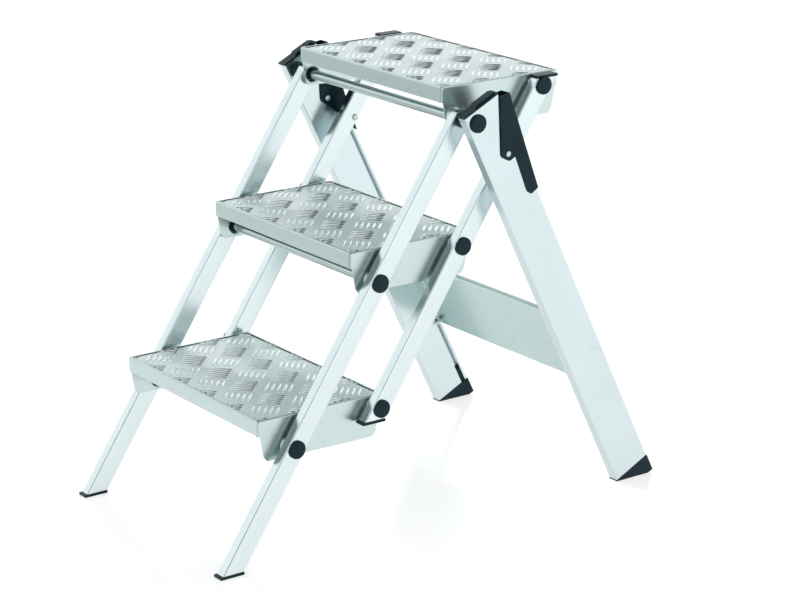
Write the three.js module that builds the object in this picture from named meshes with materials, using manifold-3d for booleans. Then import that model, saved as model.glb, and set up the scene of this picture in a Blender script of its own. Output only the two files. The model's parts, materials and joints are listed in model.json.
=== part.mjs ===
// Three-step folding step stool in aluminium, millimetres, +Z up.
// The climber faces +Y. The origin is on the floor, midway between the front and rear feet.
//
// Two front stiles stand on the floor. Three treads hinge on them by their front axles, and two
// rear stiles hang on the treads' rear axles, so stiles and treads make a parallelogram. Two wide
// rear legs, tied by a crossbar, hinge on the top tread's front axle. To fold, the treads' rear
// edges drop, the rear stiles slide down behind the front stiles and the legs swing in over both.

import * as THREE from 'three';
import { mergeVertices } from 'three/addons/utils/BufferGeometryUtils.js';
import Module from 'manifold-3d';

const wasm = await Module();
wasm.setup();

// ---- driving dimensions ------------------------------------------------------------------------

const RISE = 235;                 // height from one tread to the next
const RUN = 156;                  // the stiles' rearward lean over one rise
const FIRST_TREAD_Z = 228;        // top of the bottom tread
const FRONT_AXLE_DROP = 48.5;     // front axle below the tread's top
const REAR_AXLE_DROP = 15.7;      // rear axle below the tread's top
const AXLE_SPACING = 158;         // front axle to rear axle, along Y
const FIRST_AXLE_Y = -275;        // front axle of the bottom tread

const TREAD_HALF_WIDTH = 193;
const TREAD_DEPTH = 231;
const FRONT_OVERHANGS = [54.5, 39.5, 24.5];   // tread edge ahead of its front axle, bottom tread first

const STILE_INNER_X = 199;
const STILE_OUTER_X = 217;
const STILE_DEPTH = 32;
const LEG_INNER_X = 236.5;
const LEG_OUTER_X = 254.5;
const LEG_FRONT = -18.3;          // leg's front edge, from the line through its pivot
const LEG_REAR = 52.5;            // leg's rear edge, from the same line
const LEG_LEAN = THREE.MathUtils.degToRad(63.7);
const LEG_TOP = -19.4;            // top cut, along the leg from its pivot
const LEG_BOTTOM = 714;           // bottom cut, along the leg from its pivot

const WALL = 2;                   // tube walls
const SHEET = 2.5;                // folded sheet of the treads
const GAP = 0.3;                  // clearance between pieces that fit together
const AXLE_RADIUS = 8;
const AXLE_BORE = 6;
const CAP_RADIUS = 14.5;

// ---- materials ---------------------------------------------------------------------------------

function material(name, color, roughness, metalness) {
  const made = new THREE.MeshStandardMaterial({ color, roughness, metalness });
  made.name = name;
  return made;
}

const brightAluminium = () => material('stile_aluminium', 0xe6ecee, 0.35, 0.9);
const satinAluminium = () => material('tread_aluminium', 0xb8c8c8, 0.4, 0.9);
const plateAluminium = () => material('chequer_aluminium', 0xd5dddd, 0.3, 0.9);
const blackPlastic = () => material('black_plastic', 0x2b343a, 0.6, 0);
const blackPaint = () => material('black_paint', 0x27323a, 0.45, 0.2);
const steel = () => material('steel', 0xc8cdd0, 0.3, 1);

// ---- solids ------------------------------------------------------------------------------------

const ROUND = 20;                 // sides of a round bore, axle or turned piece
const CORNER_STEPS = 3;           // facets of a rounded corner

function toSolid(geometry) {
  const bare = geometry.clone();
  bare.deleteAttribute('normal');
  bare.deleteAttribute('uv');
  const welded = mergeVertices(bare, 1e-4);
  return new wasm.Manifold(new wasm.Mesh({
    numProp: 3,
    vertProperties: new Float32Array(welded.attributes.position.array),
    triVerts: new Uint32Array(welded.index.array),
  }));
}

function toGeometry(solid) {
  const mesh = solid.getMesh();
  const geometry = new THREE.BufferGeometry();
  geometry.setAttribute('position', new THREE.BufferAttribute(new Float32Array(mesh.vertProperties), 3));
  geometry.setIndex(new THREE.BufferAttribute(new Uint32Array(mesh.triVerts), 1));
  geometry.computeVertexNormals();
  return geometry;
}

function joined(first, ...others) {
  return others.reduce((sum, other) => sum.add(other), first);
}

function cut(solid, ...tools) {
  return tools.reduce((rest, tool) => rest.subtract(tool), solid);
}

// The same piece on the other side of the stool.
function mirrored(geometry) {
  const copy = geometry.clone();
  copy.scale(-1, 1, 1);
  const index = copy.index.array;
  for (let i = 0; i < index.length; i += 3) {
    const swap = index[i];
    index[i] = index[i + 1];
    index[i + 1] = swap;
  }
  copy.computeVertexNormals();
  return copy;
}

// A closed outline whose corners are rounded: each corner is [x, y, radius], radius 0 if left out.
function outline(corners, segments = CORNER_STEPS) {
  const points = [];
  corners.forEach(([x, y, radius = 0], i) => {
    const corner = new THREE.Vector2(x, y);
    if (radius === 0) {
      points.push(corner);
      return;
    }
    const before = corners[(i + corners.length - 1) % corners.length];
    const after = corners[(i + 1) % corners.length];
    const back = new THREE.Vector2(before[0] - x, before[1] - y).normalize();
    const ahead = new THREE.Vector2(after[0] - x, after[1] - y).normalize();
    const half = Math.acos(back.dot(ahead)) / 2;
    const middle = back.clone().add(ahead).normalize();
    const centre = corner.clone().addScaledVector(middle, radius / Math.sin(half));
    const start = corner.clone().addScaledVector(back, radius / Math.tan(half)).sub(centre);
    const end = corner.clone().addScaledVector(ahead, radius / Math.tan(half)).sub(centre);
    const turn = Math.atan2(start.cross(end), start.dot(end));
    for (let k = 0; k <= segments; k += 1) {
      points.push(start.clone().rotateAround(new THREE.Vector2(), turn * k / segments).add(centre));
    }
  });
  return points;
}

function rectangle(x0, y0, x1, y1, radius = 0) {
  return [[x0, y0, radius], [x1, y0, radius], [x1, y1, radius], [x0, y1, radius]];
}

// An outline pushed along +Z of its own frame, from start to end, then placed by a matrix.
function pushed(points, start, end, placement, holes = []) {
  const shape = new THREE.Shape(points);
  holes.forEach((hole) => shape.holes.push(new THREE.Path(hole)));
  const geometry = new THREE.ExtrudeGeometry(shape, { depth: end - start, bevelEnabled: false });
  geometry.translate(0, 0, start);
  geometry.applyMatrix4(placement);
  return geometry;
}

function cylinderX(radius, x0, x1, y, z, segments = ROUND) {
  const geometry = new THREE.CylinderGeometry(radius, radius, x1 - x0, segments);
  geometry.rotateZ(-Math.PI / 2);
  geometry.translate((x0 + x1) / 2, y, z);
  return toSolid(geometry);
}

function box(x0, x1, y0, y1, z0, z1) {
  const geometry = new THREE.BoxGeometry(x1 - x0, y1 - y0, z1 - z0);
  geometry.translate((x0 + x1) / 2, (y0 + y1) / 2, (z0 + z1) / 2);
  return toSolid(geometry);
}

// A turned piece on an axis along X: profile points are [radius, x].
function turnedX(profile, y, z, segments = ROUND) {
  const geometry = new THREE.LatheGeometry(profile.map(([r, x]) => new THREE.Vector2(r, x)), segments);
  geometry.rotateZ(-Math.PI / 2);
  geometry.translate(0, y, z);
  return geometry;
}

// ---- frames ------------------------------------------------------------------------------------

const ALONG_X = new THREE.Vector3(1, 0, 0);

function frame(xAxis, yAxis, zAxis, y = 0, z = 0) {
  return new THREE.Matrix4().makeBasis(xAxis, yAxis, zAxis).setPosition(0, y, z);
}

// Outlines drawn as (y, z) and pushed along X.
const SIDE_Y = new THREE.Vector3(0, 1, 0);
const SIDE_Z = new THREE.Vector3(0, 0, 1);
const SIDE_VIEW = frame(SIDE_Y, SIDE_Z, ALONG_X);

const frontAxles = [0, 1, 2].map((i) => ({
  y: FIRST_AXLE_Y + RUN * i,
  z: FIRST_TREAD_Z - FRONT_AXLE_DROP + RISE * i,
}));
const rearAxles = frontAxles.map(({ y, z }) => ({
  y: y + AXLE_SPACING,
  z: z + FRONT_AXLE_DROP - REAR_AXLE_DROP,
}));
const legPivot = frontAxles[2];

const stileLength = Math.hypot(RUN, RISE);
const stileUp = new THREE.Vector3(0, RUN / stileLength, RISE / stileLength);
const stileBack = new THREE.Vector3(0, stileUp.z, -stileUp.y);
const legDown = new THREE.Vector3(0, Math.cos(LEG_LEAN), -Math.sin(LEG_LEAN));
const legBack = new THREE.Vector3(0, Math.sin(LEG_LEAN), Math.cos(LEG_LEAN));

// Sections drawn as (back, -x) and pushed up a stile from one of its pivots.
const stileFrame = (pivot) => frame(stileBack, ALONG_X.clone().negate(), stileUp, pivot.y, pivot.z);
// Sections drawn as (back, x) and pushed down a leg from its pivot.
const LEG_SECTION = frame(legBack, ALONG_X, legDown, legPivot.y, legPivot.z);
// Outlines drawn as (down the leg, back) and pushed along X.
const LEG_SIDE = frame(legDown, legBack, ALONG_X, legPivot.y, legPivot.z);

function onLeg(down, back) {
  const point = legDown.clone().multiplyScalar(down).addScaledVector(legBack, back);
  return { y: legPivot.y + point.y, z: legPivot.z + point.z };
}

// Where a stile's centre line, or a line set back from it, passes a height.
function onStile(pivot, height, back = 0) {
  return pivot.y + (height - pivot.z) * RUN / RISE + back / stileUp.z;
}

// ---- stiles ------------------------------------------------------------------------------------

const STILE_CORNER = 2.5;
const FOOT_THICK = 4;
const TOP_CAP_DROP = 4;           // rear stile's top cut, below the top tread's surface
const BOTTOM_CUT = 17;            // rear stile's bottom cut, below its lowest pivot
const STILE_ABOVE_PIVOT = 11.5;   // front stile's top cut, above the top tread's front pivot
const END_THICK = 4;
const MIN_CORNER = 0.8;
const STILE_MID_X = (STILE_INNER_X + STILE_OUTER_X) / 2;
const STILE_HALF_X = (STILE_OUTER_X - STILE_INNER_X) / 2;

function stileBar(pivot, lowZ, highZ, inset) {
  const halfDepth = STILE_DEPTH / 2 - inset;
  const halfWidth = STILE_HALF_X - inset;
  const corner = Math.max(STILE_CORNER - inset, MIN_CORNER);
  const section = outline(rectangle(-halfDepth, -halfWidth, halfDepth, halfWidth, corner));
  const reach = STILE_DEPTH;
  const from = (lowZ - pivot.z) / stileUp.z - reach;
  const to = (highZ - pivot.z) / stileUp.z + reach;
  const geometry = pushed(section, from, to, stileFrame(pivot));
  geometry.translate(STILE_MID_X, 0, 0);
  const far = 2 * stileLength + RISE;
  const slab = box(0, 2 * STILE_OUTER_X, -far, far, lowZ, highZ);
  return toSolid(geometry).intersect(slab);
}

function stileTube(pivots, lowZ, highZ) {
  const outer = stileBar(pivots[0], lowZ, highZ, 0);
  const inner = stileBar(pivots[0], lowZ - 1, highZ + 1, WALL);
  const bores = pivots.map(({ y, z }) =>
    cylinderX(AXLE_RADIUS + GAP, STILE_INNER_X - 1, STILE_OUTER_X + 1, y, z));
  return cut(outer, inner, ...bores);
}

// A rimmed end piece with a plug that goes up or down inside the tube.
const CAP_RIM = 1.4;              // how far an end piece stands out around the tube
const PLUG_LENGTH = 14;
const SHORT_PLUG = 2.8;           // where an axle passes close to the cut end

function stileEnd(pivot, lowZ, highZ, plugLowZ, plugHighZ, outerRim = CAP_RIM) {
  const half = STILE_DEPTH / 2 + CAP_RIM;
  const plate = pushed(
    outline([
      [onStile(pivot, lowZ, -half), lowZ],
      [onStile(pivot, lowZ, half), lowZ],
      [onStile(pivot, lowZ, half), highZ],
      [onStile(pivot, lowZ, -half), highZ],
    ]),
    STILE_INNER_X - CAP_RIM,
    STILE_OUTER_X + outerRim,
    SIDE_VIEW,
  );
  return joined(toSolid(plate), stileBar(pivot, plugLowZ, plugHighZ, WALL + GAP));
}

const frontStileTop = frontAxles[2].z + STILE_ABOVE_PIVOT;
const rearStileTop = FIRST_TREAD_Z + 2 * RISE - TOP_CAP_DROP;
const rearStileBottom = rearAxles[0].z - BOTTOM_CUT;

// The front stile's top is cut level and left open: the tread's side plate and the leg cover it
// from both sides.
const frontStile = stileTube(frontAxles, FOOT_THICK + GAP, frontStileTop);
const frontFoot = stileEnd(frontAxles[0], 0, FOOT_THICK, FOOT_THICK - 0.5, FOOT_THICK + PLUG_LENGTH);
const rearStile = stileTube(rearAxles, rearStileBottom, rearStileTop);
const topCap = stileEnd(
  rearAxles[2],
  rearStileTop + GAP,
  rearStileTop + GAP + END_THICK,
  rearStileTop - SHORT_PLUG,
  rearStileTop + 1,
  0,
);
const bottomCap = stileEnd(
  rearAxles[0],
  rearStileBottom - GAP - END_THICK,
  rearStileBottom - GAP,
  rearStileBottom - 1,
  rearStileBottom + SHORT_PLUG,
);

// Round-headed stud through the rear stile, just ahead of its rear edge, that the latch rests over.
const STUD_RADIUS = 4;
const STUD_HEAD_RADIUS = 5.5;
const STUD_HEAD = 2;
const STUD_CHAMFER = 1;
const STUD_REACH = 15.5;          // how far it stands out towards the leg
const STUD_DOWN = 117.7;          // down the leg from its pivot
const STUD_BACK = 43.1;
const studPlace = onLeg(STUD_DOWN, STUD_BACK);

function stud() {
  const seat = STILE_INNER_X - GAP;
  const end = STILE_OUTER_X + STUD_REACH;
  return turnedX([
    [0, seat - STUD_HEAD],
    [STUD_HEAD_RADIUS - STUD_CHAMFER, seat - STUD_HEAD],
    [STUD_HEAD_RADIUS, seat - STUD_HEAD + STUD_CHAMFER],
    [STUD_HEAD_RADIUS, seat],
    [STUD_RADIUS, seat],
    [STUD_RADIUS, end - STUD_CHAMFER],
    [STUD_RADIUS - STUD_CHAMFER, end],
    [0, end],
  ], studPlace.y, studPlace.z);
}

const studBore = cylinderX(STUD_RADIUS + GAP, STILE_INNER_X - 1, STILE_OUTER_X + 1,
  studPlace.y, studPlace.z);
const boredRearStile = cut(rearStile, studBore);

// ---- treads ------------------------------------------------------------------------------------

const LIP_HEIGHT = 25;
const LIP_RETURN = 9;             // the lip's lower edge folds back under the tread
const PLATE_THICK = 2;
const PLATE_INSET = 5;            // tray rim around the chequer plate
const RECESS = PLATE_THICK + GAP;
const PLATE_CORNER = 2;
const TREAD_CORNER = 4.5;
const DISH_REACH = 30;            // taller than any dish below its axle
const DISH_DEPTH = 5.3;           // side plates are dished out towards the stiles at each pivot
const BUSH_SLEEVE = 10.2;
const BUSH_FLANGE = 12.3;
const FRONT_DISH = { base: 16.5, top: 13, bore: BUSH_SLEEVE + GAP };
const REAR_DISH = { base: 14.5, top: 11, bore: AXLE_RADIUS + GAP };

// The side plates below the lips: [in from the lip's face, height over the front pivot, corner].
const EAR_OUTLINE = [[4.2, 23], [10.5, -10], [16.5, -18, 4]];
const HEEL_OUTLINE = [[15, -20, 12], [2.5, 20]];

function dish({ y, z, base, top }, isInside) {
  const step = isInside ? SHEET : 0;
  const start = TREAD_HALF_WIDTH - SHEET - (isInside ? 1 : 0);
  return toSolid(turnedX([
    [0, start],
    [base - step, start],
    [base - step, TREAD_HALF_WIDTH - step],
    [top - step / 2, TREAD_HALF_WIDTH + DISH_DEPTH - step],
    [0, TREAD_HALF_WIDTH + DISH_DEPTH - step],
  ], y, z));
}

function treadTray(pivot, overhang) {
  const w = TREAD_HALF_WIDTH;
  const top = pivot.z + FRONT_AXLE_DROP;
  const underside = top - RECESS - SHEET;
  const y0 = pivot.y - overhang;
  const y1 = y0 + TREAD_DEPTH;
  const flat = (corners, z0, z1) => toSolid(pushed(outline(corners), z0, z1, new THREE.Matrix4()));
  const shell = cut(
    flat(rectangle(-w, y0, w, y1, TREAD_CORNER), top - LIP_HEIGHT, top),
    flat(rectangle(-w + SHEET, y0 + SHEET, w - SHEET, y1 - SHEET, TREAD_CORNER - SHEET),
      top - LIP_HEIGHT + SHEET, underside),
    flat(rectangle(-w + SHEET, y0 + LIP_RETURN, w - SHEET, y1 - LIP_RETURN),
      top - LIP_HEIGHT - 1, underside),
    flat(rectangle(-w + PLATE_INSET - GAP, y0 + PLATE_INSET - GAP,
      w - PLATE_INSET + GAP, y1 - PLATE_INSET + GAP, PLATE_CORNER), top - RECESS, top + 1),
  );
  const front = -overhang;
  const rear = TREAD_DEPTH - overhang;
  const plateTop = FRONT_AXLE_DROP - 1;
  const plate = toSolid(pushed(outline([
    [front + EAR_OUTLINE[0][0], plateTop],
    ...EAR_OUTLINE.map(([inward, height, corner]) => [front + inward, height, corner]),
    ...HEEL_OUTLINE.map(([inward, height, corner]) => [rear - inward, height, corner]),
    [rear - HEEL_OUTLINE[1][0], plateTop],
  ]), w - SHEET, w, frame(SIDE_Y, SIDE_Z, ALONG_X, pivot.y, pivot.z)));
  const dishes = [
    { y: pivot.y, z: pivot.z, ...FRONT_DISH },
    { y: pivot.y + AXLE_SPACING, z: top - REAR_AXLE_DROP, ...REAR_DISH },
  ];
  const below = (height) => box(0, 2 * w, y0, y1, pivot.z - DISH_REACH, height);
  const pressed = toGeometry(
    joined(...dishes.map((each) => dish(each, false))).intersect(below(top - 1)),
  );
  const hollow = toGeometry(
    joined(...dishes.flatMap((each) => [
      dish(each, true),
      cylinderX(each.bore, w - SHEET - 1, w + DISH_DEPTH + 1, each.y, each.z),
    ])).intersect(below(underside)),
  );
  const side = toGeometry(cut(plate.add(toSolid(pressed)), toSolid(hollow)));
  return cut(
    joined(shell, toSolid(side), toSolid(mirrored(side))),
    toSolid(hollow),
    toSolid(mirrored(hollow)),
  );
}

function treadPlate(pivot, overhang) {
  const top = pivot.z + FRONT_AXLE_DROP;
  const w = TREAD_HALF_WIDTH - PLATE_INSET;
  const y0 = pivot.y - overhang + PLATE_INSET;
  const y1 = pivot.y + TREAD_DEPTH - overhang - PLATE_INSET;
  const edge = outline(rectangle(-w, y0, w, y1, PLATE_CORNER));
  return pushed(edge, top - PLATE_THICK, top, new THREE.Matrix4());
}

// ---- axles, caps and bushes --------------------------------------------------------------------

function axle({ y, z }, halfLength) {
  return turnedX([
    [AXLE_BORE, -halfLength],
    [AXLE_RADIUS, -halfLength],
    [AXLE_RADIUS, halfLength],
    [AXLE_BORE, halfLength],
    [AXLE_BORE, -halfLength],
  ], y, z);
}

const CAP_PLUG = 8;
const CAP_WALL = 2.4;
const CAP_ROUND = 1.2;
const CAP_DOME = 0.6;
const FLANGE_THICK = 2;
const FLANGE_SLACK = 1.6;         // the bush's flange inside the hollow of its dish

// Domed cap over an axle's end, with a plug that goes into the axle's bore.
function pivotCap({ y, z }, faceX) {
  const base = faceX + GAP;
  const rim = base + CAP_WALL + CAP_ROUND;
  return turnedX([
    [0, base - CAP_PLUG],
    [AXLE_BORE - GAP, base - CAP_PLUG],
    [AXLE_BORE - GAP, base],
    [CAP_RADIUS, base],
    [CAP_RADIUS, base + CAP_WALL],
    [CAP_RADIUS - CAP_ROUND, rim],
    [0, rim + CAP_DOME],
  ], y, z);
}

// Flanged nylon bush around the front axle in the tread's side plate.
function axleBush({ y, z }) {
  const inner = AXLE_RADIUS + GAP;
  const flangeX = TREAD_HALF_WIDTH + DISH_DEPTH - SHEET - GAP;
  const endX = TREAD_HALF_WIDTH + DISH_DEPTH + GAP / 2;
  const flange = BUSH_FLANGE - FLANGE_SLACK;
  return turnedX([
    [inner, flangeX - FLANGE_THICK],
    [flange, flangeX - FLANGE_THICK],
    [flange, flangeX],
    [BUSH_SLEEVE, flangeX],
    [BUSH_SLEEVE, endX],
    [inner, endX],
    [inner, flangeX - FLANGE_THICK],
  ], y, z);
}

// Black spacer on the top front axle, between stile and leg.
function legSpacer({ y, z }) {
  const inner = AXLE_RADIUS + GAP;
  return turnedX([
    [inner, STILE_OUTER_X + GAP],
    [CAP_RADIUS - 1, STILE_OUTER_X + GAP],
    [CAP_RADIUS - 1, LEG_INNER_X - GAP],
    [inner, LEG_INNER_X - GAP],
    [inner, STILE_OUTER_X + GAP],
  ], y, z);
}

// ---- rear legs ---------------------------------------------------------------------------------

const SLOT_FRONT = 37;            // T-slot along the leg's inner face, near its rear edge
const SLOT_REAR = 49;
const SLOT_LIP = 1.5;
const SLOT_DEPTH = 7;
const LEG_CORNER = 1.5;
const RIVET_RADIUS = 3;
const RIVET_DOWN = 75.2;          // down the leg from its pivot
const RIVET_BACK = 27.6;
const rivetPlace = onLeg(RIVET_DOWN, RIVET_BACK);

function legBar() {
  const profile = outline(rectangle(LEG_FRONT, LEG_INNER_X, LEG_REAR, LEG_OUTER_X, LEG_CORNER));
  const chambers = [
    rectangle(LEG_FRONT + WALL, LEG_INNER_X + WALL, SLOT_FRONT - WALL, LEG_OUTER_X - WALL, MIN_CORNER),
    rectangle(SLOT_FRONT, LEG_INNER_X + SLOT_DEPTH + WALL, LEG_REAR - WALL, LEG_OUTER_X - WALL),
  ].map((each) => outline(each).reverse());
  const bar = toSolid(pushed(profile, LEG_TOP, LEG_BOTTOM, LEG_SECTION, chambers));
  const slot = pushed(outline([
    [SLOT_FRONT + SLOT_LIP, LEG_INNER_X - 1],
    [SLOT_REAR - SLOT_LIP, LEG_INNER_X - 1],
    [SLOT_REAR - SLOT_LIP, LEG_INNER_X + SLOT_LIP],
    [SLOT_REAR, LEG_INNER_X + SLOT_LIP],
    [SLOT_REAR, LEG_INNER_X + SLOT_DEPTH],
    [SLOT_FRONT, LEG_INNER_X + SLOT_DEPTH],
    [SLOT_FRONT, LEG_INNER_X + SLOT_LIP],
    [SLOT_FRONT + SLOT_LIP, LEG_INNER_X + SLOT_LIP],
  ]), LEG_TOP - 1, LEG_BOTTOM + 1, LEG_SECTION);
  const axleBore = cylinderX(AXLE_RADIUS + GAP, LEG_INNER_X - 1, LEG_OUTER_X + 1,
    legPivot.y, legPivot.z);
  const rivetBore = cylinderX(RIVET_RADIUS + GAP, LEG_INNER_X - 1, LEG_OUTER_X + 1,
    rivetPlace.y, rivetPlace.z);
  return cut(bar, toSolid(slot), axleBore, rivetBore);
}

// Plug that fits the leg's closed chamber, from one place along the leg to another.
function legPlug(from, to) {
  const slack = WALL + GAP;
  return toSolid(pushed(
    outline(rectangle(LEG_FRONT + slack, LEG_INNER_X + slack, SLOT_FRONT - slack,
      LEG_OUTER_X - slack, MIN_CORNER)),
    from,
    to,
    LEG_SECTION,
  ));
}

const CAP_LIP = 0.4;              // how far the end cap stands out beside the latch
const CAP_PLATE = 3;
const BLOCK_HEIGHT = 3.5;
const BLOCK_FRONT = 4;            // the raised block's foot, back from the leg's pivot line
const BLOCK_SLOPE = 9;            // its front slope
const CAP_PLUG_LENGTH = 9;
const FOOT_RIM = 0.9;             // how far the feet stand out around the leg
const FOOT_PLUG = 20;
const TONGUE = 30;                // the foot's tongue up the slot
const FOOT_HEEL = 42.5;           // where the sole leaves the floor, back from the pivot line
const FOOT_DROP = 31.5;           // the foot's rear edge, below the leg's cut

// End cap: a rimmed plate on the top cut, a raised block along it and a plug in the chamber.
function legEndCap() {
  const under = LEG_TOP - GAP;
  const top = under - CAP_PLATE;
  const plate = pushed(
    outline(rectangle(top, LEG_FRONT - FOOT_RIM, under, LEG_REAR + CAP_LIP)),
    LEG_INNER_X - CAP_LIP,
    LEG_OUTER_X + CAP_LIP,
    LEG_SIDE,
  );
  const block = pushed(outline([
    [top + 1, BLOCK_FRONT],
    [top + 1, LEG_REAR - WALL - 1],
    [top - BLOCK_HEIGHT, LEG_REAR - WALL - BLOCK_HEIGHT],
    [top - BLOCK_HEIGHT, BLOCK_FRONT + BLOCK_SLOPE],
  ]), LEG_INNER_X + WALL, LEG_OUTER_X - WALL, LEG_SIDE);
  return joined(toSolid(plate), toSolid(block), legPlug(under - 1, LEG_TOP + CAP_PLUG_LENGTH));
}

// Wedge foot: thin at the front, filled down to the floor at the rear, with a plug in the chamber
// and a tongue up the slot.
function rearFoot() {
  const top = LEG_BOTTOM + GAP;
  const floorAt = (back) => (legPivot.z + legBack.z * back) / -legDown.z;
  const wedge = pushed(outline([
    [top, LEG_FRONT - FOOT_RIM],
    [top, LEG_REAR + FOOT_RIM],
    [top + FOOT_DROP, LEG_REAR + FOOT_RIM],
    [floorAt(FOOT_HEEL), FOOT_HEEL],
    [floorAt(LEG_FRONT - FOOT_RIM), LEG_FRONT - FOOT_RIM],
  ]), LEG_INNER_X - FOOT_RIM, LEG_OUTER_X + FOOT_RIM, LEG_SIDE);
  const tongue = pushed(
    outline(rectangle(SLOT_FRONT + SLOT_LIP + GAP, LEG_INNER_X + 2 * GAP, SLOT_REAR - SLOT_LIP - GAP,
      LEG_INNER_X + SLOT_DEPTH - GAP)),
    LEG_BOTTOM - TONGUE,
    top + 1,
    LEG_SECTION,
  );
  return joined(toSolid(wedge), toSolid(tongue), legPlug(LEG_BOTTOM - FOOT_PLUG, top + 1));
}

// ---- crossbar ----------------------------------------------------------------------------------

const BAR_TOP = 442;              // along the leg from its pivot
const BAR_BOTTOM = 584;
const BAR_FACE = 49.8;            // front face, back from the leg's pivot line
const BAR_SHEET = 2;
const BAR_RIM = 8;                // edges folded rearward
const BAR_END_X = LEG_INNER_X - GAP;
const FLANGE_FRONT = 35.5;
const BAR_BEND = 3;
const FLANGE_CORNER = 1.5;
const BOLT_RADIUS = 3;
const BOLT_INSET = 10;            // in from the crossbar's edges
const BOLT_HEAD = 3.5;
const NUT_RADIUS = 4.6;
const NUT_THICK = 4;
const BOLT_BACK = (SLOT_FRONT + SLOT_REAR) / 2;
const boltPlaces = [BAR_TOP + BOLT_INSET, BAR_BOTTOM - BOLT_INSET]
  .map((down) => onLeg(down, BOLT_BACK));

function crossbar() {
  const pan = pushed(outline([
    [BAR_TOP, BAR_FACE, BAR_BEND],
    [BAR_TOP, BAR_FACE + BAR_RIM],
    [BAR_TOP + BAR_SHEET, BAR_FACE + BAR_RIM],
    [BAR_TOP + BAR_SHEET, BAR_FACE + BAR_SHEET],
    [BAR_BOTTOM - BAR_SHEET, BAR_FACE + BAR_SHEET],
    [BAR_BOTTOM - BAR_SHEET, BAR_FACE + BAR_RIM],
    [BAR_BOTTOM, BAR_FACE + BAR_RIM],
    [BAR_BOTTOM, BAR_FACE, BAR_BEND],
  ]), -BAR_END_X, BAR_END_X, LEG_SIDE);
  const flange = pushed(
    outline(rectangle(BAR_TOP, FLANGE_FRONT, BAR_BOTTOM, BAR_FACE + BAR_SHEET, FLANGE_CORNER)),
    BAR_END_X - BAR_SHEET,
    BAR_END_X,
    LEG_SIDE,
  );
  const bores = boltPlaces.map(({ y, z }) =>
    cylinderX(BOLT_RADIUS + GAP, BAR_END_X - 2 * BAR_SHEET, BAR_END_X + 1, y, z));
  const end = toGeometry(cut(toSolid(flange), ...bores));
  return joined(toSolid(pan), toSolid(end), toSolid(mirrored(end)));
}

// T-bolt in the leg's slot with its nut on the crossbar's flange.
function crossbarBolt({ y, z }) {
  const nutX = BAR_END_X - BAR_SHEET - GAP;
  const headX = LEG_INNER_X + SLOT_LIP + GAP;
  const nut = new THREE.CylinderGeometry(NUT_RADIUS, NUT_RADIUS, NUT_THICK, 6);
  nut.rotateZ(-Math.PI / 2);
  nut.translate(nutX - NUT_THICK / 2, y, z);
  const shank = cylinderX(BOLT_RADIUS, nutX - NUT_THICK - 1, headX + 1, y, z);
  const halfHead = (SLOT_REAR - SLOT_FRONT) / 2 - GAP;
  const head = pushed(
    outline(rectangle(-halfHead, -halfHead, halfHead, halfHead)),
    headX,
    headX + BOLT_HEAD,
    frame(legDown, legBack, ALONG_X, y, z),
  );
  return joined(toSolid(nut), shank, toSolid(head));
}

// ---- latch -------------------------------------------------------------------------------------

const LATCH_SHEET = 2;
const LATCH_GAP = 0.8;

// Outlines of the U-section lever: [down the leg, back from its pivot line, corner].
const WEB_TOP = [-10, 72];
const WEB_BOTTOM = [158, 55.4];
const CHEEK_TOP = [-15, 52.5];
const NOSE = [73, 14.5, 9];
const OUTER_LOWER = [[159, 38, 3], [152, 34.8, 3], [86.5, 39.8], [87, 24.5, 6]];
const INNER_HOOK = [128, 43.5, 3];
const CHEEK_OUT = LEG_OUTER_X + LATCH_GAP;
const CHEEK_IN = LEG_INNER_X - LATCH_GAP;

function latch() {
  const inside = ([down, back]) => [down, back - LATCH_SHEET];
  const outerCheek = pushed(
    outline([CHEEK_TOP, WEB_TOP, WEB_BOTTOM, ...OUTER_LOWER, NOSE]),
    CHEEK_OUT,
    CHEEK_OUT + LATCH_SHEET,
    LEG_SIDE,
  );
  const innerCheek = pushed(
    outline([CHEEK_TOP, WEB_TOP, WEB_BOTTOM, inside(WEB_BOTTOM), INNER_HOOK, NOSE]),
    CHEEK_IN - LATCH_SHEET,
    CHEEK_IN,
    LEG_SIDE,
  );
  const web = pushed(
    outline([WEB_TOP, WEB_BOTTOM, inside(WEB_BOTTOM), inside(WEB_TOP)]),
    CHEEK_IN - LATCH_SHEET,
    CHEEK_OUT + LATCH_SHEET,
    LEG_SIDE,
  );
  const bore = cylinderX(RIVET_RADIUS + GAP, CHEEK_IN - 5, CHEEK_OUT + 5,
    rivetPlace.y, rivetPlace.z);
  return cut(joined(toSolid(outerCheek), toSolid(innerCheek), toSolid(web)), bore);
}

const RIVET_HEAD_RADIUS = 4.6;
const RIVET_HEAD = 1.2;

// Rivet through both cheeks and the leg.
function latchRivet() {
  const inX = CHEEK_IN - LATCH_SHEET - GAP;
  const outX = CHEEK_OUT + LATCH_SHEET + GAP;
  const flat = RIVET_HEAD_RADIUS - RIVET_HEAD;
  return turnedX([
    [0, inX - RIVET_HEAD],
    [flat, inX - RIVET_HEAD],
    [RIVET_HEAD_RADIUS, inX],
    [RIVET_RADIUS, inX],
    [RIVET_RADIUS, outX],
    [RIVET_HEAD_RADIUS, outX],
    [flat, outX + RIVET_HEAD],
    [0, outX + RIVET_HEAD],
  ], rivetPlace.y, rivetPlace.z);
}

// ---- assembly ----------------------------------------------------------------------------------

const stool = new THREE.Group();
stool.name = 'step_stool';

function add(name, shape, finish) {
  const geometry = shape instanceof THREE.BufferGeometry ? shape : toGeometry(shape);
  const mesh = new THREE.Mesh(geometry, finish);
  mesh.name = name;
  stool.add(mesh);
  return geometry;
}

function addPair(name, shape, finish) {
  const geometry = add(`${name}_right`, shape, finish());
  add(`${name}_left`, mirrored(geometry.index ? geometry : mergeVertices(geometry)), finish());
}

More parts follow.
